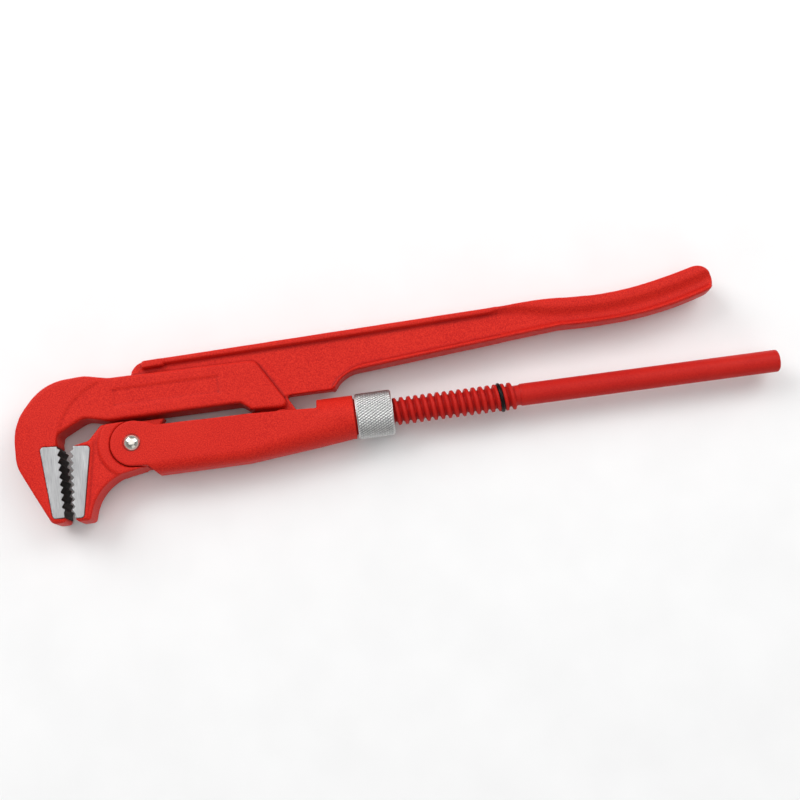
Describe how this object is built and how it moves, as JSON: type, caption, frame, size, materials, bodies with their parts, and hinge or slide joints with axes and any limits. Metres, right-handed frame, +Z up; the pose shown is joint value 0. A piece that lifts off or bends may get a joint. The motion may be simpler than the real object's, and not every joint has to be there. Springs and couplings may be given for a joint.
{
  "type": "pipe wrench",
  "caption": "Two-leg pipe wrench with right-angle toothed jaws: a hooked fixed jaw on an I-section leg and a pivoting jaw on a sleeve set by a knurled ring nut on a threaded leg.",
  "frame": {"origin": "centre of the bottom of the outer box; the wrench lies on its side on Z = 0", "axes": "+X along the threaded leg from the jaws to its free end, +Y from the threaded leg to the upper leg, +Z up through the thickness of the tool"},
  "size_m": [0.317, 0.0728, 0.0208],
  "materials": {
    "red_paint": "satin enamel on forged steel",
    "ground_steel": "hardened and ground bare steel",
    "bright_steel": "polished",
    "plated_steel": "bright zinc plated, knurled",
    "black_steel": "black oiled spring steel"
  },
  "bodies": {
    "upper_leg": {"upper_leg": "red_paint", "hook_tooth_block": "ground_steel", "hinge_pin": "bright_steel"},
    "lower_leg": {"spindle": "red_paint", "stop_ring": "black_steel"},
    "sleeve": {"sleeve": "red_paint", "jaw_rivet": "bright_steel", "nut_ring": "black_steel"},
    "nut": {"ring_nut": "plated_steel"},
    "lower_jaw": {"lower_jaw": "red_paint", "jaw_tooth_block": "ground_steel"}
  },
  "joints": [
    {"name": "legs_hinge", "type": "hinge", "parent": "upper_leg", "child": "lower_leg", "pos_m": [-0.04921, -0.00791, 0.0104], "axis": [0, 0, 1], "range_deg": [0, 7]},
    {"name": "jaw_adjust", "type": "slide", "parent": "lower_leg", "child": "sleeve", "axis": [1, 0, 0], "range_m": [-0.001, 0.03]},
    {"name": "nut_spin", "type": "hinge", "parent": "sleeve", "child": "nut", "pos_m": [-0.01141, -0.00791, 0.0104], "axis": [1, 0, 0], "range_deg": [-125, 3610]},
    {"name": "jaw_tilt", "type": "hinge", "parent": "sleeve", "child": "lower_jaw", "pos_m": [-0.11071, -0.00751, 0.0104], "axis": [0, 0, 1], "range_deg": [-9.5, 0.2]}
  ],
  "couplings": [
    {"joint": "nut_spin", "follows": "jaw_adjust", "rad_per_m": 2094.4},
    {"joint": "jaw_tilt", "follows": "legs_hinge", "ratio": -1.3}
  ]
}
